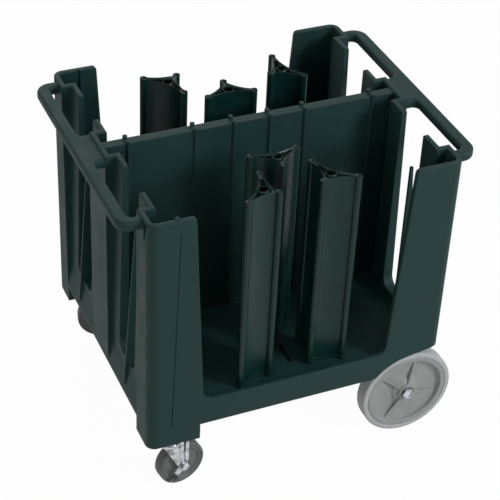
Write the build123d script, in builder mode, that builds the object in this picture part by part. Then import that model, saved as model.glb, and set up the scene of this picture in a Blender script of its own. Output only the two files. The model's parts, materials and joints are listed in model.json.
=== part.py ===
from build123d import *
from math import cos, radians, sin, tan
import os

os.makedirs("parts", exist_ok=True)

# The cart stands on the floor at z = 0. Its long sides lie along X, the big wheels are at the
# +X end and the two swivel casters at the -X end. The origin is on the floor, at mid length.

# Moulded body
body_length = 796
body_width = 716
body_top = 842
corner_radius = 25
side_wall = 15
end_wall = 14
rim_round = 4
skirt_bottom = 214
floor_top = 276
floor_thickness = 20
sill_top = 289

# Side openings, and the panels beside them, which are wider at the sill than at the top
left_panel_top = 115
left_panel_sill = 144
right_panel_top = 127
right_panel_sill = 159
sill_corner_round = 28
panel_corner_round = 11

# Recessed bays in each end wall, with a tall slot in each and a fin up the middle of the slot
corner_post = 82
bay_start = 60
bay_depth = 27
bay_low_depth = 13
bay_ramp_top = 290
bay_ramp_bottom = 224
slot_start = 109
slot_post = 56
slot_bottom = 306
slot_low_round = 26
fin_offset = 10
fin_thickness = 6
fin_depth = 8
fin_top = 722
fin_bottom = 240

# Push bars around the top of each end
bar_overhang = 59
bar_width = 32
bar_height = 26
bar_side_step = 38
bar_drop = 5
bar_corner_round = 38
bar_window_round = 14
bar_window_reach = 18
bar_edge_round = 8
pocket_drop = 36
pocket_head = 6
pocket_width = 22
pocket_depth = 11

# Wall along the middle and the half-round beads on the walls
centre_wall = 26
centre_wall_drop = 5
bead_radius = 6
bead_sink = 1
bead_rise = 7
centre_bead_places = (-324, -152, -51, 45, 139, 325)
corner_bead_inset = 72

# Shallow crease down the near left panel
crease_top_inset = 76
crease_bottom_inset = 60
crease_top = 803
crease_bottom = 226
crease_width = 3
crease_depth = 1.5

# Corner feet that carry the casters
foot_bottom = 168
foot_length = 136
foot_depth = 86

# Recesses under the floor, one on each side of the keel
hollow_left_margin = 148
hollow_right_margin = 130
hollow_inner = 30
hollow_side_margin = 72

# Big wheels and their axle
wheel_end_inset = 72
wheel_radius = 127
wheel_width = 40
wheel_inset = 11
tyre_depth = 15
tyre_shoulder = 5
wheel_recess_radius = 98
wheel_recess = 12
wheel_hub_radius = 24
wheel_hub_length = 44
spoke_turns = (78, 141, 238, 342)
spoke_width = 6
spoke_drop = 6
well_clearance = 10
well_depth = 58
well_slope = 10
axle_diameter = 19
bush_wall = 4
washer_thickness = 2
washer_radius = 17
axle_nut_width = 28
axle_nut_height = 6
axle_beam_step = 2
axle_beam_top_width = 110
axle_beam_radius = 24

# Plate towers
tower_top = 832
tower_wall = 4.5
tower_foot_height = 9
tower_foot_lip = 1.5
tower_short_reach = 48
tower_long_reach = 73.5
tower_spread = 109.4
tower_bead_radius = 9
tower_neck = 11
tower_neck_length = 10
tower_short_dip = 22
tower_long_dip = 14.5
finger_hole = 24
tongue_length = 50
tongue_width = 10
tongue_depth = 12
tower_dip_turn = 8
tower_tip_turn = 180
spare_slot_x = 10
spare_slot_inset = 112
spare_slot_length = 76
# Each tower's x, its distance in from the face of its own long side, and its turn
near_left_x = -93
near_left_inset = 71
near_left_turn = -35
near_middle_x = -7
near_middle_inset = 187
near_middle_turn = -90
near_right_x = 84
near_right_inset = 80
near_right_turn = 219
far_left_x = -130
far_left_inset = 124
far_left_turn = 37
far_middle_x = 0
far_middle_inset = 208
far_middle_turn = 87
far_right_x = 170
far_right_inset = 157
far_right_turn = 199

# Swivel casters
caster_end_inset = 68
caster_side_inset = 41
caster_turns = {"near": 10, "far": -14}
caster_wheel_radius = 63.5
caster_wheel_width = 32
caster_tread_depth = 9
caster_trail = 33
caster_tread_shoulder = 5
caster_recess = 5
caster_rim = 7
caster_hub_radius = 15
caster_bush_radius = 9.5
caster_axle = 12
caster_plate_length = 95
caster_plate_width = 70
caster_plate_thickness = 4.5
caster_plate_corner = 8
caster_bolt_inset = 10
caster_bolt = 8
caster_bolt_head = 13
caster_bolt_head_height = 5
race_radius = 29
race_height = 12
race_edge = 3
crown_thickness = 4
crown_radius = 34
fork_gap = 38
fork_wall = 3
fork_top_length = 62
crown_middle = 6
fork_rib_places = (-7.5, 8)
fork_rib_width = 10.5
fork_rib_rise = 3
fork_eye_radius = 13
kingpin = 12
kingpin_head = 20
kingpin_head_height = 8
axle_hex = 19
axle_hex_height = 7
pedal_reach = 40
pedal_turn = 222
pedal_length = 16
pedal_width = 15
pedal_depth = 9
pedal_plate = 3
pedal_eye_radius = 12
pedal_tip_radius = 7

# Clearances
running_gap = 0.1
seat_gap = 0.3
peg_gap = 0.5

# Worked-out places
half_length = body_length / 2
half_width = body_width / 2
inner_half_width = half_width - side_wall
inner_half_length = half_length - end_wall
opening_left_top = left_panel_top - half_length
opening_left_sill = left_panel_sill - half_length
opening_right_top = half_length - right_panel_top
opening_right_sill = half_length - right_panel_sill
bay_end = half_width - corner_post
bay_face = half_length - bay_depth
bay_back = bay_face - end_wall
bay_middle = (bay_start + bay_end) / 2
bay_width = bay_end - bay_start
slot_end = bay_end - slot_post
bar_reach = half_length + bar_overhang
bar_span = body_width - 2 * bar_side_step
bar_bottom = body_top - bar_drop - bar_height
bar_inner = bar_reach - bar_width
window_width = bay_width + bar_window_reach
window_middle = bay_start + window_width / 2
corner_bead_place = corner_bead_inset - half_length
foot_inner_end = foot_length - half_length
hollow_start = hollow_left_margin - half_length
hollow_end = half_length - hollow_right_margin
hollow_outer = half_width - hollow_side_margin
wheel_place = half_length - wheel_end_inset
wheel_height = wheel_radius
wheel_outer_face = half_width - wheel_inset
wheel_middle = wheel_outer_face - wheel_width / 2
well_radius = wheel_radius + well_clearance
well_roof = wheel_height + well_radius
well_inner = half_width - well_depth
axle_beam_end = well_inner - axle_beam_step
beyond = 1

tower_places = {
    "tower_near_left": (near_left_x, near_left_inset - half_width, near_left_turn),
    "tower_near_middle": (near_middle_x, near_middle_inset - half_width, near_middle_turn),
    "tower_near_right": (near_right_x, near_right_inset - half_width, near_right_turn),
    "tower_far_left": (far_left_x, half_width - far_left_inset, far_left_turn),
    "tower_far_middle": (far_middle_x, half_width - far_middle_inset, far_middle_turn),
    "tower_far_right": (far_right_x, half_width - far_right_inset, far_right_turn),
}


def side_plane(y):
    # An upright plane facing -Y, whose own x is X and whose own y is height.
    return Plane(origin=(0, y, 0), x_dir=(1, 0, 0), z_dir=(0, -1, 0))


def finish(sub_part, name):
    sub_part.part.label = name
    export_step(sub_part.part, f"parts/{name}.step")


# Push bars
# Half of a rounded ring around each end, joined to the middle of the end by a web.
with BuildPart() as push_bar:
    with BuildSketch(Plane.XY.offset(bar_bottom)) as bar_outline:
        with Locations(((inner_half_length + bar_reach) / 2, 0)):
            outline = Rectangle(bar_reach - inner_half_length, bar_span)
        fillet(outline.vertices().group_by(Axis.X)[-1], bar_corner_round)
        with Locations(*[((bay_face + bar_inner) / 2, side * window_middle) for side in (-1, 1)]):
            Rectangle(bar_inner - bay_face, window_width, mode=Mode.SUBTRACT)
        corners = bar_outline.vertices()
        inner_corners = corners.filter_by_position(Axis.X, bar_inner - beyond, bar_inner + beyond)
        fillet(inner_corners, bar_window_round)
    extrude(amount=bar_height)
    fillet(push_bar.edges().group_by(Axis.Z)[-1] + push_bar.edges().group_by(Axis.Z)[0], bar_edge_round)

# Tower section
# A star of three arms, the first one short, with a round bead at each tip and a plate-shaped
# hollow curve between each pair of arms.
tower_arms = ((0, tower_short_reach), (tower_spread, tower_long_reach), (-tower_spread, tower_long_reach))


def polar(radius, turn, across=0):
    # A point at a distance along an arm, moved sideways from the arm's middle line.
    a = radians(turn)
    return (radius * cos(a) - across * sin(a), radius * sin(a) + across * cos(a))


def star_face(inset):
    # The star's middle, drawn inset from its outer surface by a wall.
    half_neck = tower_neck / 2 - inset / 3
    dips = (tower_short_dip - inset, tower_long_dip - inset, tower_short_dip - inset)
    dip_turn = tower_spread / 2 - tower_dip_turn
    mids = (dip_turn, tower_tip_turn, -dip_turn)
    necks = [(turn, reach - tower_bead_radius - tower_neck_length - 2 * inset) for turn, reach in tower_arms]
    with BuildSketch(mode=Mode.PRIVATE) as face:
        with BuildLine():
            for i in range(3):
                turn, radius = necks[i]
                next_turn, next_radius = necks[(i + 1) % 3]
                start = polar(radius, turn, half_neck)
                end = polar(next_radius, next_turn, -half_neck)
                ThreePointArc(start, polar(dips[i], mids[i]), end)
                Line(end, polar(next_radius, next_turn, half_neck))
        make_face()
    return face.sketch


with BuildSketch() as tower_section:
    add(star_face(0))
    for turn, reach in tower_arms:
        bead_place = reach - tower_bead_radius
        with Locations(polar(bead_place - tower_neck_length / 2, turn)):
            Rectangle(tower_neck_length + 1, tower_neck, rotation=turn)
        with Locations(polar(bead_place, turn)):
            Circle(tower_bead_radius)

# The lowest slab of a tower carries a tongue that drops into a slot in the floor.
tongue_middle = tower_short_reach - tower_bead_radius - tongue_length / 2

# Body
with BuildPart() as caddy_body:
    # Floor slab with its skirt, and the wall around it
    with BuildSketch(Plane.XY.offset(skirt_bottom)):
        RectangleRounded(body_length, body_width, corner_radius)
    extrude(amount=floor_top - skirt_bottom)
    with BuildSketch(Plane.XY.offset(floor_top)):
        RectangleRounded(body_length, body_width, corner_radius)
        inner_size = (2 * inner_half_length, 2 * inner_half_width)
        RectangleRounded(*inner_size, corner_radius - side_wall, mode=Mode.SUBTRACT)
    extrude(amount=body_top - floor_top)

    # Each bay of the end walls steps inwards, leans out a little and ends in a ramp at the skirt
    with BuildSketch(Plane.XY.offset(skirt_bottom)):
        for end in (-1, 1):
            for side in (-1, 1):
                with Locations((end * (half_length + bay_back) / 2, side * bay_middle)):
                    Rectangle(half_length - bay_back, bay_width + 2 * end_wall)
    extrude(amount=body_top - skirt_bottom)
    for side in (-1, 1):
        with BuildSketch(side_plane(side * bay_middle)):
            for end in (-1, 1):
                with BuildLine():
                    Polyline(
                        (end * bay_face, body_top + beyond),
                        (end * (half_length - bay_low_depth), bay_ramp_top),
                        (end * half_length, bay_ramp_bottom),
                        (end * (half_length + beyond), bay_ramp_bottom),
                        (end * (half_length + beyond), body_top + beyond),
                        close=True,
                    )
                make_face()
        extrude(amount=bay_width / 2, both=True, mode=Mode.SUBTRACT)

    # Tall slots through the bays, open at the top and round at the bottom
    with BuildSketch(Plane.YZ):
        for side in (-1, 1):
            with BuildLine():
                FilletPolyline(
                    (side * slot_start, body_top + beyond),
                    (side * slot_start, slot_bottom),
                    (side * slot_end, slot_bottom),
                    (side * slot_end, body_top + beyond),
                    radius=slot_low_round,
                    close=False,
                )
                Line((side * slot_end, body_top + beyond), (side * slot_start, body_top + beyond))
            make_face()
    extrude(amount=half_length, both=True, mode=Mode.SUBTRACT)

    # A fin stands in each slot, deeper at its foot than at its top
    for side in (-1, 1):
        with BuildSketch(side_plane(side * (bay_middle + fin_offset))):
            for end in (-1, 1):
                with BuildLine():
                    Polyline(
                        (end * bay_back, fin_top),
                        (end * (bay_back + fin_depth), fin_top),
                        (end * half_length, fin_bottom),
                        (end * bay_back, fin_bottom),
                        close=True,
                    )
                make_face()
        extrude(amount=fin_thickness / 2, both=True)

    # Side openings with rounded corners at the sill and at the panel tops
    with BuildSketch(Plane.XZ) as opening:
        with BuildLine():
            Polyline(
                (opening_left_sill, sill_top),
                (opening_right_sill, sill_top),
                (opening_right_top, body_top),
                (half_length, body_top),
                (half_length, body_top + 4 * beyond),
                (-half_length, body_top + 4 * beyond),
                (-half_length, body_top),
                (opening_left_top, body_top),
                close=True,
            )
        make_face()
        fillet(opening.vertices().group_by(Axis.Y)[0], sill_corner_round)
        panel_corners = opening.vertices().filter_by_position(Axis.X, opening_left_top, opening_right_top)
        fillet(panel_corners.group_by(Axis.Y)[-1], panel_corner_round)
    extrude(amount=half_width, both=True, mode=Mode.SUBTRACT)
    fillet(caddy_body.edges().group_by(Axis.Z)[-1], rim_round)

    # Wall along the middle
    with BuildSketch(Plane.XY.offset(floor_top)):
        Rectangle(2 * inner_half_length + end_wall, centre_wall)
    extrude(amount=body_top - centre_wall_drop - floor_top)

    # Half-round beads up the middle wall and inside the left corner panels
    with BuildSketch(Plane.XY.offset(floor_top)):
        for side in (-1, 1):
            with Locations(*[(place, side * (centre_wall / 2 - bead_sink)) for place in centre_bead_places]):
                Circle(bead_radius)
            with Locations((corner_bead_place, side * (inner_half_width + bead_sink))):
                Circle(bead_radius)
    extrude(amount=body_top - centre_wall_drop + bead_rise - floor_top)

    # Corner feet over the casters
    with BuildSketch(Plane.XY.offset(foot_bottom)) as feet:
        foot_middle = (foot_inner_end - foot_length / 2, half_width - foot_depth / 2)
        with Locations(foot_middle, (foot_middle[0], -foot_middle[1])):
            Rectangle(foot_length, foot_depth)
        end_corners = feet.vertices().group_by(Axis.X)[0].sort_by(Axis.Y)
        fillet([end_corners[0], end_corners[-1]], corner_radius)
    extrude(amount=skirt_bottom - foot_bottom)

    # Beam across the big-wheel end, with the bore for the axle
    with BuildSketch(Plane.XZ):
        with Locations((wheel_place, wheel_height)):
            Circle(axle_beam_radius)
        with Locations((wheel_place, skirt_bottom + beyond)):
            Rectangle(axle_beam_top_width, 2 * beyond)
        make_hull()
    extrude(amount=axle_beam_end, both=True)
    with BuildSketch(Plane.XZ):
        with Locations((wheel_place, wheel_height)):
            Circle(axle_diameter / 2 + running_gap)
    extrude(amount=axle_beam_end, both=True, mode=Mode.SUBTRACT)

    # Wheel wells: an arch that runs out to the end of the body on a slope
    arch_x = wheel_place + well_radius * sin(radians(-well_slope))
    arch_z = wheel_height + well_radius * cos(radians(well_slope))
    arch_end_z = arch_z + (half_length + beyond - arch_x) * tan(radians(well_slope))
    for side in (-1, 1):
        with BuildSketch(side_plane(side * (half_width + inner_half_width) / 2)):
            with Locations((wheel_place, wheel_height)):
                Circle(well_radius)
            with BuildLine():
                Polyline(
                    (wheel_place, wheel_height),
                    (arch_x, arch_z),
                    (half_length + beyond, arch_end_z),
                    (half_length + beyond, wheel_height),
                    close=True,
                )
            make_face()
        extrude(amount=side_wall / 2 + beyond, both=True, mode=Mode.SUBTRACT)
        with BuildSketch(side_plane(side * (inner_half_width + well_inner) / 2)):
            with Locations((wheel_place, wheel_height)):
                Circle(well_radius)
            with Locations(((wheel_place + half_length + beyond) / 2, (wheel_height + well_roof) / 2)):
                Rectangle(half_length + beyond - wheel_place, well_roof - wheel_height)
        extrude(amount=(inner_half_width - well_inner) / 2, both=True, mode=Mode.SUBTRACT)

    # Recesses under the floor
    with BuildSketch(Plane.XY.offset(skirt_bottom)):
        for side in (-1, 1):
            with Locations(((hollow_start + hollow_end) / 2, side * (hollow_inner + hollow_outer) / 2)):
                RectangleRounded(hollow_end - hollow_start, hollow_outer - hollow_inner, corner_radius)
    extrude(amount=floor_top - floor_thickness - skirt_bottom, mode=Mode.SUBTRACT)

    # Slots in the floor for the tongues of the towers, and a spare one on each side
    slot_floor = floor_top - tongue_depth - seat_gap
    with BuildSketch(Plane.XY.offset(slot_floor)):
        for x, y, turn in tower_places.values():
            across, along = polar(tongue_middle, turn)
            with Locations((x + across, y + along)):
                SlotOverall(tongue_length + 2 * peg_gap, tongue_width + 2 * peg_gap, rotation=turn)
        for side in (-1, 1):
            with Locations((spare_slot_x, side * (half_width - spare_slot_inset))):
                SlotOverall(spare_slot_length, tongue_width + 2 * peg_gap, rotation=90)
    extrude(amount=tongue_depth + seat_gap, mode=Mode.SUBTRACT)

    # Tapered pockets in the corners, just outside the ends of the push bars
    for end in (-1, 1):
        pocket_back = (end * (half_length - pocket_depth), 0, 0)
        pocket_plane = Plane(origin=pocket_back, x_dir=(0, 1, 0), z_dir=(1, 0, 0))
        with BuildSketch(pocket_plane):
            for side in (-1, 1):
                pocket_edge = side * (bar_span / 2 - beyond)
                pocket_top = body_top - pocket_head
                with BuildLine():
                    Polyline(
                        (pocket_edge, pocket_top),
                        (pocket_edge + side * pocket_width, pocket_top),
                        (pocket_edge + side * pocket_width / 3, bar_bottom - pocket_drop),
                        close=True,
                    )
                make_face()
        extrude(amount=end * (pocket_depth + beyond), mode=Mode.SUBTRACT)

    # Crease down the near left panel
    crease_top_place = crease_top_inset - half_length
    crease_bottom_place = crease_bottom_inset - half_length
    with BuildSketch(side_plane(-half_width + crease_depth)):
        with BuildLine():
            Polyline(
                (crease_top_place - crease_width / 2, crease_top),
                (crease_top_place + crease_width / 2, crease_top),
                (crease_bottom_place + crease_width / 2, crease_bottom),
                (crease_bottom_place - crease_width / 2, crease_bottom),
                close=True,
            )
        make_face()
    extrude(amount=crease_depth + beyond, mode=Mode.SUBTRACT)

    # Push bars
    add(push_bar.part)
    add(mirror(push_bar.part, about=Plane.YZ, mode=Mode.PRIVATE))
finish(caddy_body, "caddy_body")

# Towers
# Each tower is a hollow post with a closed, holed top, standing on a foot slab.
tower_slab_top = floor_top + tower_foot_height
for name, (x, y, turn) in tower_places.items():
    tower_axis = Plane(origin=(x, y, 0), x_dir=(cos(radians(turn)), sin(radians(turn)), 0), z_dir=(0, 0, 1))
    with BuildPart() as tower:
        with BuildSketch(tower_axis.offset(tower_slab_top)):
            add(tower_section.sketch)
        extrude(amount=tower_top - tower_slab_top)
        with BuildSketch(tower_axis.offset(tower_slab_top)):
            add(star_face(tower_wall))
        extrude(amount=tower_top - tower_wall - tower_slab_top, mode=Mode.SUBTRACT)
        with BuildSketch(tower_axis.offset(tower_top - tower_wall)):
            Circle(finger_hole / 2)
        extrude(amount=tower_wall, mode=Mode.SUBTRACT)
    finish(tower, name)

    with BuildPart() as tower_foot:
        with BuildSketch(tower_axis.offset(floor_top)):
            add(tower_section.sketch)
            offset(amount=tower_foot_lip, kind=Kind.ARC)
        extrude(amount=tower_foot_height)
        with BuildSketch(tower_axis.offset(floor_top)):
            with Locations((tongue_middle, 0)):
                SlotOverall(tongue_length, tongue_width)
        extrude(amount=-tongue_depth)
    finish(tower_foot, name + "_foot")

# Big wheels and axle
def disc(y, radius, length, bore=0):
    # A round piece along Y about the big wheels' axis, from y towards the outside of its own side.
    with BuildPart(mode=Mode.PRIVATE) as piece:
        with BuildSketch(side_plane(y)):
            with Locations((wheel_place, wheel_height)):
                Circle(radius)
                if bore:
                    Circle(bore, mode=Mode.SUBTRACT)
        extrude(amount=length if y < 0 else -length)
    return piece


axle_end = half_width - 2
hub_outer = wheel_middle + wheel_hub_length / 2
hub_inner = wheel_middle - wheel_hub_length / 2
bush_bore = axle_diameter / 2 + running_gap
bush_radius = bush_bore + bush_wall
tyre_inner = wheel_radius - tyre_depth

with BuildPart() as rear_axle:
    with BuildSketch(Plane.XZ):
        with Locations((wheel_place, wheel_height)):
            Circle(axle_diameter / 2)
    extrude(amount=axle_end, both=True)
    chamfer(rear_axle.edges().group_by(Axis.Y)[-1] + rear_axle.edges().group_by(Axis.Y)[0], 1)
finish(rear_axle, "rear_axle")

for side, side_name in ((-1, "near"), (1, "far")):
    # Across the wheel: x is the radius and y runs outwards along the axle
    wheel_centre = (wheel_place, side * wheel_middle, wheel_height)
    half_section = Plane(origin=wheel_centre, x_dir=(1, 0, 0), z_dir=(0, 0, side))
    axle_line = Axis(wheel_centre, (0, 1, 0))

    with BuildPart() as rear_wheel:
        with BuildSketch(half_section):
            with Locations(((bush_radius + tyre_inner) / 2, 0)):
                Rectangle(tyre_inner - bush_radius, wheel_width - 2 * wheel_recess)
            with Locations(((wheel_recess_radius + tyre_inner) / 2, 0)):
                Rectangle(tyre_inner - wheel_recess_radius, wheel_width - 2)
            with Locations(((bush_radius + wheel_hub_radius) / 2, 0)):
                Rectangle(wheel_hub_radius - bush_radius, wheel_hub_length)
        revolve(axis=axle_line)
        with BuildSketch(side_plane(side * wheel_middle)):
            spoke_length = wheel_recess_radius - wheel_hub_radius
            spoke_middle = (wheel_recess_radius + wheel_hub_radius) / 2
            with Locations((wheel_place, wheel_height)):
                for spoke_turn in spoke_turns:
                    with Locations(polar(spoke_middle, spoke_turn)):
                        Rectangle(spoke_length + 2 * beyond, spoke_width, rotation=spoke_turn)
        extrude(amount=wheel_width / 2 - spoke_drop, both=True)
    finish(rear_wheel, f"rear_wheel_{side_name}")

    with BuildPart() as rear_tyre:
        with BuildSketch(half_section) as tyre_section:
            with Locations(((tyre_inner + wheel_radius) / 2, 0)):
                Rectangle(tyre_depth, wheel_width)
            fillet(tyre_section.vertices().group_by(Axis.X)[-1], tyre_shoulder)
        revolve(axis=axle_line)
    finish(rear_tyre, f"rear_tyre_{side_name}")

    rear_bush = disc(side * hub_inner, bush_radius, wheel_hub_length, bush_bore)
    finish(rear_bush, f"rear_bush_{side_name}")

    spacer_start = axle_beam_end + seat_gap
    rear_spacer = disc(side * spacer_start, washer_radius, hub_inner - seat_gap - spacer_start, bush_bore)
    finish(rear_spacer, f"rear_spacer_{side_name}")

    rear_washer = disc(side * (hub_outer + seat_gap), washer_radius, washer_thickness, bush_bore)
    finish(rear_washer, f"rear_washer_{side_name}")

    nut_start = hub_outer + seat_gap + washer_thickness
    with BuildPart() as rear_nut:
        with BuildSketch(side_plane(side * nut_start)):
            with Locations((wheel_place, wheel_height)):
                RegularPolygon(axle_nut_width / 2, 6, major_radius=False)
                Circle(axle_diameter / 2, mode=Mode.SUBTRACT)
        extrude(amount=-side * axle_nut_height)
    finish(rear_nut, f"rear_nut_{side_name}")

# Casters
plate_bottom = foot_bottom - caster_plate_thickness
race_bottom = plate_bottom - race_height
crown_top = race_bottom - seat_gap
crown_bottom = crown_top - crown_thickness
fork_outer = fork_gap / 2 + fork_wall
tread_inner = caster_wheel_radius - caster_tread_depth
caster_hub_half = fork_gap / 2 - seat_gap
axle_radius = caster_axle / 2
bolt_spread = (caster_plate_length - 2 * caster_bolt_inset, caster_plate_width - 2 * caster_bolt_inset)

for side, side_name in ((-1, "near"), (1, "far")):
    swivel = (caster_end_inset - half_length, side * (half_width - caster_side_inset))
    turn = caster_turns[side_name]
    # The fork's own frame: x towards the wheel, y across, z up, with its origin on the floor
    heading = (cos(radians(turn)), sin(radians(turn)), 0)
    fork_frame = Plane(origin=(swivel[0], swivel[1], 0), x_dir=heading, z_dir=(0, 0, 1))

    def across_plane(distance):
        # An upright plane across the fork, seen from its near side.
        middle = fork_frame.from_local_coords((0, distance, 0))
        return Plane(origin=middle, x_dir=heading, z_dir=-fork_frame.y_dir)

    with BuildPart() as caster_plate:
        with BuildSketch(Plane.XY.offset(plate_bottom)):
            with Locations(swivel):
                RectangleRounded(caster_plate_length, caster_plate_width, caster_plate_corner)
                Circle(kingpin / 2 + running_gap, mode=Mode.SUBTRACT)
                with GridLocations(*bolt_spread, 2, 2):
                    Circle(caster_bolt / 2, mode=Mode.SUBTRACT)
        extrude(amount=caster_plate_thickness)
    finish(caster_plate, f"caster_plate_{side_name}")

    with BuildPart() as caster_bolts:
        with BuildSketch(Plane.XY.offset(plate_bottom)):
            with Locations(swivel):
                with GridLocations(*bolt_spread, 2, 2):
                    Circle(caster_bolt / 2)
        extrude(amount=caster_plate_thickness)
        with BuildSketch(Plane.XY.offset(plate_bottom)):
            with Locations(swivel):
                with GridLocations(*bolt_spread, 2, 2):
                    RegularPolygon(caster_bolt_head / 2, 6, major_radius=False)
        extrude(amount=-caster_bolt_head_height)
    finish(caster_bolts, f"caster_bolts_{side_name}")

    with BuildPart() as caster_race:
        with BuildSketch(Plane.XY.offset(race_bottom)):
            with Locations(swivel):
                Circle(race_radius)
                Circle(kingpin / 2 + running_gap, mode=Mode.SUBTRACT)
        extrude(amount=race_height)
        chamfer(caster_race.edges().group_by(Axis.Z)[0].sort_by(SortBy.LENGTH)[-1], race_edge)
    finish(caster_race, f"caster_race_{side_name}")

    with BuildPart() as caster_kingpin:
        with BuildSketch(Plane.XY.offset(crown_bottom)):
            with Locations(swivel):
                Circle(kingpin / 2)
        extrude(amount=foot_bottom - seat_gap - crown_bottom)
        with BuildSketch(Plane.XY.offset(crown_bottom)):
            with Locations(swivel):
                Circle(kingpin_head / 2)
        extrude(amount=-kingpin_head_height)
    finish(caster_kingpin, f"caster_kingpin_{side_name}")

    with BuildPart() as caster_fork:
        # Crown, with a round seat under the race
        with BuildSketch(fork_frame.offset(crown_bottom)):
            Circle(crown_radius)
            with Locations((crown_middle, 0)):
                Rectangle(fork_top_length, 2 * fork_outer)
        extrude(amount=crown_thickness)
        # Two legs that narrow to the axle, each with two stiffening ribs
        for leg in (-1, 1):
            with BuildSketch(across_plane(leg * (fork_gap / 2 + fork_wall / 2))):
                with Locations((caster_trail, caster_wheel_radius)):
                    Circle(fork_eye_radius)
                with Locations((crown_middle, crown_bottom + crown_thickness / 2)):
                    Rectangle(fork_top_length, crown_thickness)
                make_hull()
            extrude(amount=fork_wall / 2, both=True)
            with BuildSketch(across_plane(leg * (fork_outer + fork_rib_rise / 2))):
                rib_bottom = caster_wheel_radius + fork_eye_radius + 1
                rib_middle = (rib_bottom + crown_bottom) / 2
                with Locations(*[(caster_trail + place, rib_middle) for place in fork_rib_places]):
                    Rectangle(fork_rib_width, crown_bottom - rib_bottom)
            extrude(amount=fork_rib_rise / 2 + 0.5, both=True)
        with BuildSketch(across_plane(0)):
            with Locations((caster_trail, caster_wheel_radius)):
                Circle(axle_radius)
        extrude(amount=2 * fork_outer, both=True, mode=Mode.SUBTRACT)
        with BuildSketch(fork_frame.offset(crown_bottom)):
            Circle(kingpin / 2)
        extrude(amount=crown_thickness, mode=Mode.SUBTRACT)
    finish(caster_fork, f"caster_fork_{side_name}")

    # The braked caster's nut stands further out, past the lever
    lever_room = pedal_plate + 2 * seat_gap if side_name == "near" else 0
    with BuildPart() as caster_bolt_axle:
        with BuildSketch(across_plane(fork_outer)):
            with Locations((caster_trail, caster_wheel_radius)):
                Circle(axle_radius)
        extrude(amount=2 * fork_outer + lever_room + axle_hex_height)
        with BuildSketch(across_plane(fork_outer)):
            with Locations((caster_trail, caster_wheel_radius)):
                RegularPolygon(axle_hex / 2, 6, major_radius=False)
        extrude(amount=-axle_hex_height)
    finish(caster_bolt_axle, f"caster_axle_{side_name}")

    with BuildPart() as caster_nut:
        with BuildSketch(across_plane(-fork_outer - lever_room)):
            with Locations((caster_trail, caster_wheel_radius)):
                RegularPolygon(axle_hex / 2, 6, major_radius=False)
                Circle(axle_radius, mode=Mode.SUBTRACT)
        extrude(amount=axle_hex_height)
    finish(caster_nut, f"caster_nut_{side_name}")

    # Across the caster wheel: x is the radius and y runs along its axle
    caster_centre = fork_frame.from_local_coords((caster_trail, 0, caster_wheel_radius))
    caster_section = Plane(origin=caster_centre, x_dir=heading, z_dir=(0, 0, 1))
    caster_axis = Axis(caster_centre, fork_frame.y_dir)

    with BuildPart() as caster_wheel:
        with BuildSketch(caster_section):
            with Locations(((caster_bush_radius + tread_inner) / 2, 0)):
                Rectangle(tread_inner - caster_bush_radius, caster_wheel_width - 2 * caster_recess)
            with Locations((tread_inner - caster_rim / 2, 0)):
                Rectangle(caster_rim, caster_wheel_width - 2)
            with Locations(((caster_bush_radius + caster_hub_radius) / 2, 0)):
                Rectangle(caster_hub_radius - caster_bush_radius, caster_wheel_width + 2)
        revolve(axis=caster_axis)
    finish(caster_wheel, f"caster_wheel_{side_name}")

    with BuildPart() as caster_tread:
        with BuildSketch(caster_section) as tread_section:
            with Locations(((tread_inner + caster_wheel_radius) / 2, 0)):
                Rectangle(caster_tread_depth, caster_wheel_width)
            fillet(tread_section.vertices().group_by(Axis.X)[-1], caster_tread_shoulder)
        revolve(axis=caster_axis)
    finish(caster_tread, f"caster_tread_{side_name}")

    with BuildPart() as caster_bush:
        with BuildSketch(caster_section):
            bush_inner = axle_radius + running_gap
            with Locations(((bush_inner + caster_bush_radius) / 2, 0)):
                Rectangle(caster_bush_radius - bush_inner, 2 * caster_hub_half)
        revolve(axis=caster_axis)
    finish(caster_bush, f"caster_bush_{side_name}")

    if side_name == "near":
        # Foot lever of the brake: a flat arm on the axle with a thick tread at its end
        tread_place = polar(pedal_reach, pedal_turn)
        with BuildPart() as brake_lever:
            with BuildSketch(across_plane(-fork_outer - seat_gap)):
                with Locations((caster_trail, caster_wheel_radius)):
                    Circle(pedal_eye_radius)
                    with Locations(tread_place):
                        Circle(pedal_tip_radius)
                make_hull()
                with Locations((caster_trail, caster_wheel_radius)):
                    Circle(axle_radius + running_gap, mode=Mode.SUBTRACT)
            extrude(amount=pedal_plate)
            with BuildSketch(across_plane(-fork_outer - seat_gap)):
                with Locations((caster_trail, caster_wheel_radius)):
                    with Locations(tread_place):
                        Rectangle(pedal_length, pedal_width, rotation=pedal_turn)
            extrude(amount=pedal_depth)
        finish(brake_lever, "brake_lever")
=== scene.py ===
import json
from math import cos, pi, radians, sin

import bmesh
import bpy
from mathutils import Matrix, Vector


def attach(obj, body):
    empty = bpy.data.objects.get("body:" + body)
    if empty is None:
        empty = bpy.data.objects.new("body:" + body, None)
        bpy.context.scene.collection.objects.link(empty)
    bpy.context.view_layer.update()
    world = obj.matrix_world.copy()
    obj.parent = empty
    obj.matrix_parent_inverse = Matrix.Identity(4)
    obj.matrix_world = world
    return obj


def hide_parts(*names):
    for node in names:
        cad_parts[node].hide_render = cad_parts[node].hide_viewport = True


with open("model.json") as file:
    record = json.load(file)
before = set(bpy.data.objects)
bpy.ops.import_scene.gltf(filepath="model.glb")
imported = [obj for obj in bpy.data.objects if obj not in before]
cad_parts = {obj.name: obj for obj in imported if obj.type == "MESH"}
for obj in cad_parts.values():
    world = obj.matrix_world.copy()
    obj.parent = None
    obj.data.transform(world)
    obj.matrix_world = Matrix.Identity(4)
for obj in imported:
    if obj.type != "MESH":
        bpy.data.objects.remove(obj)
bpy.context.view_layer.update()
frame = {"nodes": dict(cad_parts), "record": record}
nodes = frame["nodes"]
print("frame loaded:", len(nodes), "nodes")

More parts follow.
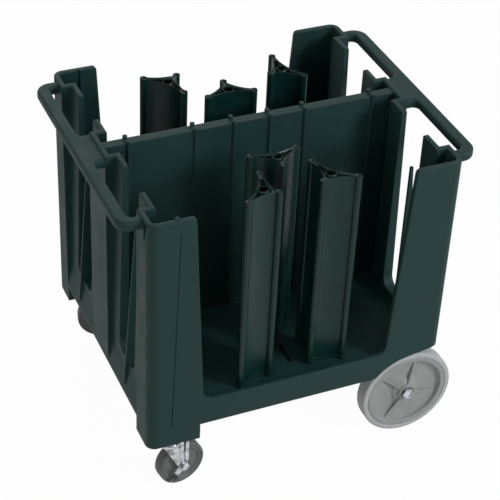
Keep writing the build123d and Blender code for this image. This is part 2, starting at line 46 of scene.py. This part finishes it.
mm = 0.001  # pieces and patterns are drawn in millimetres, and the scene is in metres
sides = {"near": -1, "far": 1}  # which way each side lies along Y


def addObject(name, data):
    made = bpy.data.objects.new(name, data)
    bpy.context.scene.collection.objects.link(made)
    return made


# Camera at the photograph's viewing angle, in metres and degrees

cameraSettings = {
    "azimuth": 24.745,  # from straight at the long side, turned towards the big wheels' end
    "elevation": 36.679,
    "roll": 2.91,
    "distance": 4.162,
    "target": (0.0287, 0.0334, 0.4),
    "lens": 113.9,
    "clipEnd": 50,
}


def makeCamera(settings):
    azimuth, elevation, roll = (radians(settings[k]) for k in ("azimuth", "elevation", "roll"))
    forward = Vector((sin(azimuth) * cos(elevation), cos(azimuth) * cos(elevation), -sin(elevation)))
    level = Vector((cos(azimuth), -sin(azimuth), 0))
    upright = level.cross(forward)
    right = level * cos(roll) + upright * sin(roll)
    up = upright * cos(roll) - level * sin(roll)
    data = bpy.data.cameras.new("camera")
    data.lens = settings["lens"]
    data.clip_end = settings["clipEnd"]
    camera = addObject("camera", data)
    place = Vector(settings["target"]) - forward * settings["distance"]
    camera.matrix_world = Matrix.Translation(place) @ Matrix((right, up, -forward)).transposed().to_4x4()
    bpy.context.scene.camera = camera


makeCamera(cameraSettings)
print("camera placed")


# Materials, with their patterns' sizes in millimetres

def linear(hexColour):
    # An sRGB hex colour as the linear values that the shaders take
    channels = [int(hexColour[i:i + 2], 16) / 255 for i in (1, 3, 5)]
    return [c / 12.92 if c <= 0.04045 else ((c + 0.055) / 1.055) ** 2.4 for c in channels] + [1]


def addNode(tree, kind, settings=None, values=None, links=None):
    # One shader node with its settings, its socket values and its incoming links
    node = tree.nodes.new(kind)
    for name, value in (settings or {}).items():
        setattr(node, name, value)
    for name, value in (values or {}).items():
        node.inputs[name].default_value = value
    for name, socket in (links or {}).items():
        tree.links.new(socket, node.inputs[name])
    return node


def newMaterial(name):
    material = bpy.data.materials.new(name)
    material.use_nodes = True
    material.node_tree.nodes.clear()
    return material, material.node_tree


# Shared by the finishes: where in its noise each pattern starts to show and where it is full
patterns = {"cloudRange": (0.35, 0.65), "rubRange": (0.58, 0.8), "smearRange": (0.42, 0.62), "edgeSamples": 6}


def makeMouldedPlastic(name, look):
    material, tree = newMaterial(name)
    place = addNode(tree, "ShaderNodeTexCoord").outputs["Object"]
    cloudLow, cloudHigh = patterns["cloudRange"]
    rubLow, rubHigh = patterns["rubRange"]
    smoothest, roughest = (look["roughness"] + step for step in look["glossSpread"])

    grain = addNode(
        tree, "ShaderNodeTexNoise",
        values={"Scale": 1 / (look["grain"] * mm), "Detail": 3}, links={"Vector": place},
    )
    cloud = addNode(
        tree, "ShaderNodeTexNoise",
        values={"Scale": 1 / (look["cloud"] * mm), "Detail": 4}, links={"Vector": place},
    )
    stretch = addNode(tree, "ShaderNodeMapping", values={"Scale": look["rubScale"]}, links={"Vector": place})
    rub = addNode(
        tree, "ShaderNodeTexNoise",
        values={"Scale": 1 / (look["rub"] * mm), "Detail": 6, "Roughness": 0.7},
        links={"Vector": stretch.outputs[0]},
    )
    rubMask = addNode(
        tree, "ShaderNodeMapRange",
        values={"From Min": rubLow, "From Max": rubHigh, "To Min": 0, "To Max": look["rubStrength"]},
        links={"Value": rub.outputs["Fac"]},
    )
    cloudMask = addNode(
        tree, "ShaderNodeMapRange",
        values={"From Min": cloudLow, "From Max": cloudHigh, "To Min": 0, "To Max": 1},
        links={"Value": cloud.outputs["Fac"]},
    )
    shade = addNode(
        tree, "ShaderNodeMix", {"data_type": "RGBA"},
        {6: linear(look["colour"]), 7: linear(look["cloudColour"])}, {0: cloudMask.outputs["Result"]},
    )
    worn = addNode(
        tree, "ShaderNodeMix", {"data_type": "RGBA"},
        {7: linear(look["rubColour"])}, {0: rubMask.outputs["Result"], 6: shade.outputs[2]},
    )
    gloss = addNode(
        tree, "ShaderNodeMapRange",
        values={"From Min": cloudLow, "From Max": cloudHigh, "To Min": smoothest, "To Max": roughest},
        links={"Value": cloud.outputs["Fac"]},
    )
    rounding = addNode(
        tree, "ShaderNodeBevel", {"samples": patterns["edgeSamples"]}, {"Radius": look["edgeRadius"] * mm},
    )
    bump = addNode(
        tree, "ShaderNodeBump",
        values={"Strength": look["grainStrength"], "Distance": look["grainDepth"] * mm},
        links={"Height": grain.outputs["Fac"], "Normal": rounding.outputs[0]},
    )
    shader = addNode(
        tree, "ShaderNodeBsdfPrincipled",
        values={"IOR": look["ior"], "Specular IOR Level": look["specular"]},
        links={"Base Color": worn.outputs[2], "Roughness": gloss.outputs["Result"], "Normal": bump.outputs[0]},
    )
    addNode(tree, "ShaderNodeOutputMaterial", links={"Surface": shader.outputs[0]})
    return material


# Rotomoulded polyethylene: a green near black with an orange-peel skin, so its lit faces are mostly a
# soft grey sheen and its hollows go black. The real peel is finer, and is drawn coarse enough to show.
bodyLook = {
    "colour": "#0a2926", "cloudColour": "#0e302c", "rubColour": "#26403c",
    "grain": 2.2, "grainStrength": 0.35, "grainDepth": 0.4,
    "cloud": 60, "rub": 12, "rubScale": (1, 1, 0.25), "rubStrength": 0.12,
    "roughness": 0.66, "glossSpread": (-0.04, 0.05), "ior": 1.51, "specular": 0.27, "edgeRadius": 4,
}

# Blow-moulded polyethylene: nearly the same green for the towers, glossier and drawn along their height
towerLook = dict(
    bodyLook, colour="#0a2622", cloudColour="#0d2d28", grain=1.8, grainStrength=0.25, cloud=35,
    rubScale=(1, 1, 0.08), roughness=0.31, specular=0.2, edgeRadius=2,
)

# Injection-moulded polypropylene: mid grey with a spark-eroded satin skin, its grain drawn coarse
# enough to show
greyPlasticLook = {
    "colour": "#8d8d88", "cloudColour": "#969691", "rubColour": "#747471",
    "grain": 1.2, "grainStrength": 0.2, "grainDepth": 0.2,
    "cloud": 30, "rub": 8, "rubScale": (1, 1, 1), "rubStrength": 0.3,
    "roughness": 0.45, "glossSpread": (-0.04, 0.05), "ior": 1.49, "specular": 0.4, "edgeRadius": 1.5,
}

# Thermoplastic rubber tread: grey, matt, with floor dirt rubbed into it
greyRubberLook = dict(
    greyPlasticLook, colour="#aaaaa7", cloudColour="#b2b2af", rubColour="#7c7c7a",
    rubStrength=0.5, roughness=0.62, ior=1.5,
)

# The casters' plastic and rubber: the big wheels' grey darkened as painted shade for their place under the
# cart, and more scuffed
casterPaintedShadePlasticLook = dict(
    greyPlasticLook, colour="#595957", cloudColour="#696967", rubColour="#42423f", rubStrength=0.7, rub=5,
)
casterPaintedShadeRubberLook = dict(
    greyRubberLook, colour="#5e5e5c", cloudColour="#6d6d6b", rubColour="#404040", rubStrength=0.8,
)

# The brake tread's plastic: as dark as the casters' painted shade, with pale scuffs where shoes press it
treadPaintedShadePlasticLook = dict(
    casterPaintedShadePlasticLook, colour="#5c5c5a", cloudColour="#666664", rubColour="#8a8a88",
)

# Nylon bush: pale and slightly waxy
nylonLook = dict(
    greyPlasticLook, colour="#d2d0c6", cloudColour="#dad8cf", rubColour="#b6b3a8",
    rubStrength=0.2, roughness=0.4, ior=1.53, edgeRadius=0.5,
)


def makeZincSteel(name, look):
    material, tree = newMaterial(name)
    place = addNode(tree, "ShaderNodeTexCoord").outputs["Object"]
    cloudLow, cloudHigh = patterns["cloudRange"]
    smearLow, smearHigh = patterns["smearRange"]
    smoothest, roughest = (look["roughness"] + step for step in look["glossSpread"])

    spangle = addNode(
        tree, "ShaderNodeTexVoronoi", values={"Scale": 1 / (look["spangle"] * mm)}, links={"Vector": place},
    )
    smear = addNode(
        tree, "ShaderNodeTexNoise",
        values={"Scale": 1 / (look["smear"] * mm), "Detail": 5}, links={"Vector": place},
    )
    smearMask = addNode(
        tree, "ShaderNodeMapRange",
        values={"From Min": smearLow, "From Max": smearHigh, "To Min": 0, "To Max": 1},
        links={"Value": smear.outputs["Fac"]},
    )
    shade = addNode(
        tree, "ShaderNodeMix", {"data_type": "RGBA"},
        {6: linear(look["colour"]), 7: linear(look["smearColour"])}, {0: smearMask.outputs["Result"]},
    )
    dull = addNode(
        tree, "ShaderNodeMapRange",
        values={"From Min": cloudLow, "From Max": cloudHigh, "To Min": smoothest, "To Max": roughest},
        links={"Value": smear.outputs["Fac"]},
    )
    rounding = addNode(
        tree, "ShaderNodeBevel", {"samples": patterns["edgeSamples"]}, {"Radius": look["edgeRadius"] * mm},
    )
    bump = addNode(
        tree, "ShaderNodeBump",
        values={"Strength": look["spangleStrength"], "Distance": look["spangleDepth"] * mm},
        links={"Height": spangle.outputs["Distance"], "Normal": rounding.outputs[0]},
    )
    shader = addNode(
        tree, "ShaderNodeBsdfPrincipled", values={"Metallic": 1},
        links={"Base Color": shade.outputs[2], "Roughness": dull.outputs["Result"], "Normal": bump.outputs[0]},
    )
    addNode(tree, "ShaderNodeOutputMaterial", links={"Surface": shader.outputs[0]})
    return material


# Zinc-plated pressed steel: bright, slightly blue, with grey smears where grease and dust sit. The
# plating's crystals are far finer, and are drawn coarse enough to break up the shine.
zincLook = {
    "colour": "#c9ccce", "smearColour": "#8f9397", "smear": 20,
    "spangle": 3, "spangleStrength": 0.15, "spangleDepth": 0.1,
    "roughness": 0.24, "glossSpread": (-0.06, 0.1), "edgeRadius": 0.8,
}

# Washer steel darkened as painted shade round the nut, half dull, so the bright nut stands out from it
paintedShadeSteelLook = dict(zincLook, colour="#55585a", smearColour="#3b3d3f", roughness=0.42)

slotMaterials = {
    "body_plastic": makeMouldedPlastic("rotomoulded polyethylene", bodyLook),
    "tower_plastic": makeMouldedPlastic("blow-moulded polyethylene", towerLook),
    "wheel_grey": makeMouldedPlastic("injection-moulded polypropylene", greyPlasticLook),
    "tyre_grey": makeMouldedPlastic("thermoplastic rubber", greyRubberLook),
    "bush_nylon": makeMouldedPlastic("nylon", nylonLook),
    "zinc_steel": makeZincSteel("zinc-plated steel", zincLook),
}
# The casters' plastic and rubber, darkened with painted shade
casterPaintedShadePlastic = makeMouldedPlastic("injection-moulded polypropylene, scuffed, painted shade", casterPaintedShadePlasticLook)
casterPaintedShadeRubber = makeMouldedPlastic("thermoplastic rubber, scuffed, painted shade", casterPaintedShadeRubberLook)
# The tread's plastic, darkened with the casters' painted shade
treadPaintedShadePlastic = makeMouldedPlastic("injection-moulded polypropylene, dark with painted shade", treadPaintedShadePlasticLook)
paintedShadeSteel = makeZincSteel("steel darkened for painted shade", paintedShadeSteelLook)

slotOfNode = {part["node"]: part["material_slot"] for part in frame["record"]["subparts"]}
for name, node in nodes.items():
    # The washers take the steel darkened as painted shade
    material = paintedShadeSteel if name.startswith("rear_washer") else slotMaterials[slotOfNode[name]]
    node.data.materials.clear()
    node.data.materials.append(material)
print("materials made")


# What the pieces share: how their meshes are drawn, joined, shaded and placed

meshing = {
    "weld": 0.001,  # corners nearer than this, in millimetres, are one
    "crease": 34,  # an edge that turns by more degrees than this stays sharp
    "facing": 0.99,  # a face whose normal has this much of a direction faces that way
    "bevelSteps": 3,
}


def bothSides(outerFace):
    # An outline for both faces of a wheel, from points of radius and distance out from its middle
    return list(outerFace) + [(radius, -along) for radius, along in reversed(outerFace)]


def around(corner, steps):
    # Outline points, given as small steps of radius and distance from one corner
    return [(corner[0] + radius, corner[1] + along) for radius, along in steps]


def spinOutline(work, outline, steps):
    # A closed outline of radius and distance along Y, spun once around the Y axis
    corners = [work.verts.new((radius, along, 0)) for radius, along in outline]
    edges = [work.edges.new((corners[i - 1], corners[i])) for i in range(len(corners))]
    bmesh.ops.spin(
        work, geom=corners + edges, cent=(0, 0, 0), axis=(0, 1, 0), angle=2 * pi, steps=steps, use_merge=True,
    )


def addBlock(work, low, high, softness=0):
    # A block between two corners, with its edges rounded over
    made = bmesh.ops.create_cube(work, size=1)["verts"]
    size = Vector(high) - Vector(low)
    bmesh.ops.scale(work, vec=size, verts=made)
    bmesh.ops.translate(work, vec=Vector(low) + size / 2, verts=made)
    if softness:
        made = bmesh.ops.bevel(
            work, geom=list({edge for vert in made for edge in vert.link_edges}), offset=softness,
            offset_type="OFFSET", affect="EDGES", segments=meshing["bevelSteps"], profile=0.5, material=-1,
        )["verts"]
    return made


def addDisc(work, middle, radius, wall, steps):
    # A round plate that faces along Y
    made = bmesh.ops.create_cone(
        work, cap_ends=True, segments=steps, radius1=radius, radius2=radius, depth=wall,
    )["verts"]
    bmesh.ops.rotate(work, cent=(0, 0, 0), matrix=Matrix.Rotation(pi / 2, 3, "X"), verts=made)
    bmesh.ops.translate(work, vec=middle, verts=made)
    return made


def keepPiece(work, name, body, slotName, replaced=(), material=None):
    # The mesh as an object that rides its body, smooth between its creases
    for face in work.faces:
        face.smooth = True
    for edge in work.edges:
        if len(edge.link_faces) == 2 and edge.calc_face_angle() > radians(meshing["crease"]):
            edge.smooth = False
    mesh = bpy.data.meshes.new(name)
    work.to_mesh(mesh)
    work.free()
    mesh.materials.append(material or slotMaterials[slotName])
    piece = addObject(name, mesh)
    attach(piece, body)
    if replaced:
        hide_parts(*replaced)


def finishPiece(work, name, body, slotName, place, replaced=(), material=None):
    # A piece drawn in millimetres: its doubles joined, normals outward, and placed in metres
    bmesh.ops.remove_doubles(work, verts=work.verts, dist=meshing["weld"])
    bmesh.ops.recalc_face_normals(work, faces=work.faces)
    bmesh.ops.transform(work, matrix=Matrix.Scale(mm, 4) @ place, verts=work.verts)
    keepPiece(work, name, body, slotName, replaced, material)


# Towers: each post's closed top is sunk a little inside a raised rim

towerTop = {
    "rim": 2.6, "sink": 4.5,
    "lidReach": 0.5,  # the lid is what lies no further than this below the top
}


def makeTowerPost(name, shape):
    # Taken from the solid, and so already in metres
    work = bmesh.new()
    work.from_mesh(nodes[name].data)
    bmesh.ops.remove_doubles(work, verts=work.verts, dist=meshing["weld"] * mm)
    work.normal_update()
    lowest = max(vert.co.z for vert in work.verts) - shape["lidReach"] * mm
    lid = [
        face for face in work.faces
        if face.normal.z > meshing["facing"] and face.calc_center_median().z > lowest
    ]
    bmesh.ops.inset_region(
        work, faces=lid, thickness=shape["rim"] * mm, depth=-shape["sink"] * mm,
        use_even_offset=True, use_boundary=True,
    )
    keepPiece(work, name + "_post", name + "_lift", "tower_plastic", [name])


for name in nodes:
    if name.startswith("tower_") and not name.endswith("_foot"):
        makeTowerPost(name, towerTop)
print("towers made")


def makeTyre(name, body, node, place, shape, material=None):
    # A tyre band on its rim: its seat, its lip beyond the groove and its rounded shoulder
    rim, wide = shape["rimRadius"], shape["tyreHalf"]
    work = bmesh.new()
    spinOutline(work, bothSides(
        around((rim, shape["rimHalf"]), shape["tyreSeat"])
        + around((rim + shape["grooveWidth"], wide), shape["tyreLip"])
        + around((shape["tyreRadius"], wide), shape["tyreShoulder"])
    ), shape["steps"])
    finishPiece(work, name, body, "tyre_grey", place, [node], material)


# Big wheel: a sunk web with four tapering ribs, a cone round the hub and a separate tyre band. A Half
# is measured out from the wheel's middle, and pairs are steps of radius and Half from a corner.

bigWheel = {
    "centre": (326, 327, 127), "steps": 120,
    "bore": 13.8, "hubRadius": 24, "hubHalf": 21.8, "hubRound": ((-2, 0), (-0.5, -1.2)),
    "coneRadius": 36, "coneHalf": 11.5, "coneTop": ((0.5, 4.5), (3, 2.2)), "coneFoot": ((3, 1), (8, 0)),
    "webOuter": 95, "webDish": 6.6, "webHalf": 7.8, "webFlat": ((-20, 0.3),), "webRise": ((0, 0), (2.6, 1.6)),
    "rimInner": 101, "rimRadius": 112, "rimHalf": 19, "rimRound": ((-1.8, -2.2), (-0.6, -0.5), (1, 0)),
    "ribAngles": (78, 141, 238, 342), "ribWidth": 6, "ribHubHalf": 18, "ribTipHalf": 9.8,
    "ribTaper": 0.7, "ribRoot": 2, "ribReach": 3,
    "grooveWidth": 1.2, "tyreRadius": 127, "tyreHalf": 19.9,
    "tyreSeat": ((0.4, -1.2),), "tyreLip": ((0, -0.4), (1.4, 0)),
    "tyreShoulder": ((-4.6, 0), (-2.2, -0.7), (-0.7, -2.2), (0, -4.6)),
}


def makeBigWheel(side, shape):
    x, y, z = shape["centre"]
    place = Matrix.Translation((x, sides[side] * y, z))
    hub, web, rim, half = shape["hubRadius"], shape["webOuter"], shape["rimRadius"], shape["rimHalf"]
    groove = shape["grooveWidth"]
    work = bmesh.new()
    spinOutline(work, bothSides(
        [(shape["bore"], shape["hubHalf"])]
        + around((hub, shape["hubHalf"]), shape["hubRound"])
        + around((hub, shape["coneHalf"]), shape["coneTop"])
        + [(shape["coneRadius"], shape["coneHalf"])]
        + around((shape["coneRadius"], shape["webDish"]), shape["coneFoot"])
        + around((web, shape["webDish"]), shape["webFlat"])
        + around((web, shape["webHalf"]), shape["webRise"])
        + around((shape["rimInner"], half), shape["rimRound"])
        + [(rim - groove, half), (rim, half - groove / 2)]
    ), shape["steps"])

    thick, deep = shape["ribWidth"] / 2, shape["ribHubHalf"]
    for angle in shape["ribAngles"]:
        rib = addBlock(work, (hub - shape["ribRoot"], -deep, -thick), (web + shape["ribReach"], deep, thick))
        tip = [vert for vert in rib if vert.co.x > web]
        bmesh.ops.scale(work, vec=(1, shape["ribTipHalf"] / deep, shape["ribTaper"]), verts=tip)
        bmesh.ops.rotate(work, cent=(0, 0, 0), matrix=Matrix.Rotation(-radians(angle), 3, "Y"), verts=rib)
    body = "big_wheel_" + side
    finishPiece(work, "bigWheelCentre_" + side, body, "wheel_grey", place, ["rear_wheel_" + side])
    makeTyre("bigWheelTyre_" + side, body, "rear_tyre_" + side, place, shape)


for side in sides:
    makeBigWheel(side, bigWheel)
print("big wheels made")


# Caster: a pressed fork with two raised ribs down each leg, around a wheel with a sunk web

caster = {
    "swivel": (-330, 317, 0), "turns": {"near": 10, "far": -14}, "axle": (33, 0, 63.5), "steps": 80,
    "bore": 9.6, "hubRadius": 15, "hubHalf": 17, "hubRound": ((-1.5, 0), (0, -1.5)),
    "webHalf": 11, "webFoot": ((1, 1.6), (4, 0)), "webRise": ((-13, -1), (-8.5, 0)),
    "rimRadius": 54.4, "rimHalf": 15, "rimRound": ((-6.5, -1), (-5, 0), (-0.8, 0), (0, -0.8)),
    "grooveWidth": 1.6, "tyreRadius": 63.5, "tyreHalf": 16,
    "tyreSeat": ((0.4, -1),), "tyreLip": ((0, -0.3), (1.4, 0)),
    "tyreShoulder": ((-3.6, 0), (-1.6, -0.8), (-0.4, -2.4), (0, -5)),
    "crownLow": 147.2, "crownHigh": 151.2, "crownRadius": 34, "crownFront": -25, "crownBack": 37,
    "crownDraft": 1, "crownSteps": 64, "crownSoftness": 1.2,
    "legGap": 19, "legWall": 3, "eyeRadius": 13, "eyeSteps": 40,
    "ribPlaces": ((20, 31), (36, 46)), "ribRise": 4, "ribRoot": 1, "ribLow": 78, "ribPast": 0.5,
    "ribSoftness": 1.4,
}


def makeCasterWheel(side, axle, shape):
    hub, web, rim = shape["hubRadius"], shape["webHalf"], shape["rimRadius"]
    work = bmesh.new()
    spinOutline(work, bothSides(
        [(shape["bore"], shape["hubHalf"])]
        + around((hub, shape["hubHalf"]), shape["hubRound"])
        + around((hub, web), shape["webFoot"])
        + around((rim, web), shape["webRise"])
        + around((rim, shape["rimHalf"]), shape["rimRound"])
    ), shape["steps"])
    body = "caster_roller_" + side
    finishPiece(
        work, "casterWheelCentre_" + side, body, "wheel_grey", axle, ["caster_wheel_" + side], casterPaintedShadePlastic,
    )
    makeTyre("casterWheelTyre_" + side, body, "caster_tread_" + side, axle, shape, casterPaintedShadeRubber)


def makeCasterFork(side, swivel, shape):
    low, high, wall = shape["crownLow"], shape["crownHigh"], shape["legWall"]
    front, back, softness = shape["crownFront"], shape["crownBack"], shape["crownSoftness"]
    reach = shape["legGap"] + wall
    work = bmesh.new()
    crown = bmesh.ops.create_cone(
        work, cap_ends=True, segments=shape["crownSteps"],
        radius1=shape["crownRadius"], radius2=shape["crownRadius"] - shape["crownDraft"], depth=high - low,
    )["verts"]
    bmesh.ops.translate(work, vec=(0, 0, (low + high) / 2), verts=crown)
    addBlock(work, (front, -reach, low), (back, reach, high), softness)

    for leg in (-1, 1):
        middle = leg * (shape["legGap"] + wall / 2)
        centre = (shape["axle"][0], middle, shape["axle"][2])
        eye = addDisc(work, centre, shape["eyeRadius"], wall, shape["eyeSteps"])
        top = addBlock(work, (front, middle - wall / 2, low), (back, middle + wall / 2, high - softness))
        bmesh.ops.convex_hull(work, input=eye + top)
        inner, outer = sorted((leg * (reach - shape["ribRoot"]), leg * (reach + shape["ribRise"])))
        for start, stop in shape["ribPlaces"]:
            addBlock(
                work, (start, inner, shape["ribLow"]), (stop, outer, low + shape["ribPast"]),
                shape["ribSoftness"],
            )
    finishPiece(
        work, "casterFork_" + side, "caster_fork_set_" + side, "zinc_steel", swivel, ["caster_fork_" + side],
    )


def makeCaster(side, shape):
    x, y, z = shape["swivel"]
    turn = Matrix.Rotation(radians(shape["turns"][side]), 4, "Z")
    swivel = Matrix.Translation((x, sides[side] * y, z)) @ turn
    makeCasterWheel(side, swivel @ Matrix.Translation(shape["axle"]), shape)
    makeCasterFork(side, swivel, shape)
    return swivel


swivels = {side: makeCaster(side, caster) for side in sides}
print("casters made")


# Foot brake: a flat pressed arm on the axle with a hollow moulded tread at its end

brake = {
    "axle": (33, -22.4, 63.5), "reach": 40, "turn": 222,
    "armWall": 2.8, "eyeRadius": 11.8, "tipRadius": 4.5, "armSteps": 32,
    "treadLength": 16, "treadWidth": 15, "treadDepth": 8.8, "treadWall": 2.8, "treadHollow": 6,
}


def makeBrake(swivel, shape):
    along = radians(shape["turn"])
    axle = swivel @ Matrix.Translation(shape["axle"])
    tip = Vector((shape["reach"] * cos(along), 0, shape["reach"] * sin(along)))
    wall = shape["armWall"]

    work = bmesh.new()
    inset = Vector((0, wall / 2, 0))
    ends = addDisc(work, -inset, shape["eyeRadius"], wall, shape["armSteps"])
    ends += addDisc(work, tip - inset, shape["tipRadius"], wall, shape["armSteps"])
    bmesh.ops.convex_hull(work, input=ends)
    finishPiece(work, "brakeArm", "brake", "zinc_steel", axle, ["brake_lever"])

    work = bmesh.new()
    long, wide, deep = shape["treadLength"] / 2, shape["treadWidth"] / 2, shape["treadDepth"]
    addBlock(work, (-long, -deep, -wide), (long, 0, wide))
    work.normal_update()
    front = [face for face in work.faces if face.normal.y < -meshing["facing"]]
    bmesh.ops.inset_region(work, faces=front, thickness=shape["treadWall"], depth=0)
    hollow = list({vert for face in front for vert in face.verts})
    bmesh.ops.translate(work, vec=(0, shape["treadHollow"], 0), verts=hollow)
    bmesh.ops.rotate(work, cent=(0, 0, 0), matrix=Matrix.Rotation(-along, 3, "Y"), verts=work.verts[:])
    bmesh.ops.translate(work, vec=tip, verts=work.verts[:])
    finishPiece(work, "brakeTread", "brake", "wheel_grey", axle, (), treadPaintedShadePlastic)


makeBrake(swivels["near"], brake)
print("brake made")


# Floor, lamps and background, in metres and watts

stageSettings = {
    "floorSize": 14,
    "floorColour": "#efefef",
    "floorGlow": 0.975,  # the share of the floor's paint that gives way to white where it is seen
    "worldStrength": 0.12,
    "lampAim": (0, 0, 0.4),
    "lamps": (
        # name, place, size, power, colour
        ("keyLamp", (3.0, -3.4, 3.0), 1.7, 190, "#eff4ff"),
        ("fillLamp", (-2.8, -3.2, 2.4), 1.6, 28, "#ffffff"),
        ("topLamp", (0.2, 0.6, 4.2), 3.0, 8, "#ffffff"),
        ("backLamp", (0.5, 4.2, 2.2), 2.6, 40, "#ffffff"),
    ),
}


def seenRay(tree):
    # 1 where the camera sees a surface straight, in a reflection or through something clear
    path = addNode(tree, "ShaderNodeLightPath")
    mirrored = addNode(
        tree, "ShaderNodeMath", {"operation": "MAXIMUM"},
        links={0: path.outputs["Is Glossy Ray"], 1: path.outputs["Is Transmission Ray"]},
    )
    seen = addNode(
        tree, "ShaderNodeMath", {"operation": "MAXIMUM"},
        links={0: path.outputs["Is Camera Ray"], 1: mirrored.outputs[0]},
    )
    return seen.outputs[0]


def makeFloor(settings):
    mesh = bpy.data.meshes.new("floor")
    work = bmesh.new()
    bmesh.ops.create_grid(work, x_segments=1, y_segments=1, size=settings["floorSize"] / 2)
    work.to_mesh(mesh)
    work.free()
    floor = addObject("floor", mesh)

    # Painted floor: matt and pale, it keeps the cart's shadow and fades to white where it is seen
    material, tree = newMaterial("pale floor paint")
    share = addNode(
        tree, "ShaderNodeMath", {"operation": "MULTIPLY"}, {1: settings["floorGlow"]}, {0: seenRay(tree)},
    )
    paint = addNode(tree, "ShaderNodeBsdfDiffuse", values={"Color": linear(settings["floorColour"])})
    glow = addNode(tree, "ShaderNodeEmission", values={"Color": (1, 1, 1, 1), "Strength": 1})
    both = addNode(
        tree, "ShaderNodeMixShader", links={0: share.outputs[0], 1: paint.outputs[0], 2: glow.outputs[0]},
    )
    addNode(tree, "ShaderNodeOutputMaterial", links={"Surface": both.outputs[0]})
    mesh.materials.append(material)


def makeWorld(settings):
    world = bpy.data.worlds.new("studio")
    world.use_nodes = True
    tree = world.node_tree
    tree.nodes.clear()
    soft = addNode(
        tree, "ShaderNodeBackground", values={"Color": (1, 1, 1, 1), "Strength": settings["worldStrength"]},
    )
    white = addNode(tree, "ShaderNodeBackground", values={"Color": (1, 1, 1, 1), "Strength": 1})
    both = addNode(
        tree, "ShaderNodeMixShader", links={0: seenRay(tree), 1: soft.outputs[0], 2: white.outputs[0]},
    )
    addNode(tree, "ShaderNodeOutputWorld", links={"Surface": both.outputs[0]})
    bpy.context.scene.world = world


def makeLamps(settings):
    for name, place, size, power, colour in settings["lamps"]:
        data = bpy.data.lights.new(name, "AREA")
        data.shape = "DISK"
        data.size = size
        data.energy = power
        data.color = linear(colour)[:3]
        aim = Vector(settings["lampAim"]) - Vector(place)
        lamp = addObject(name, data)
        lamp.matrix_world = Matrix.Translation(place) @ aim.to_track_quat("-Z", "Y").to_matrix().to_4x4()


makeFloor(stageSettings)
makeWorld(stageSettings)
makeLamps(stageSettings)
bpy.context.scene.view_settings.view_transform = "Standard"
print("stage ready")
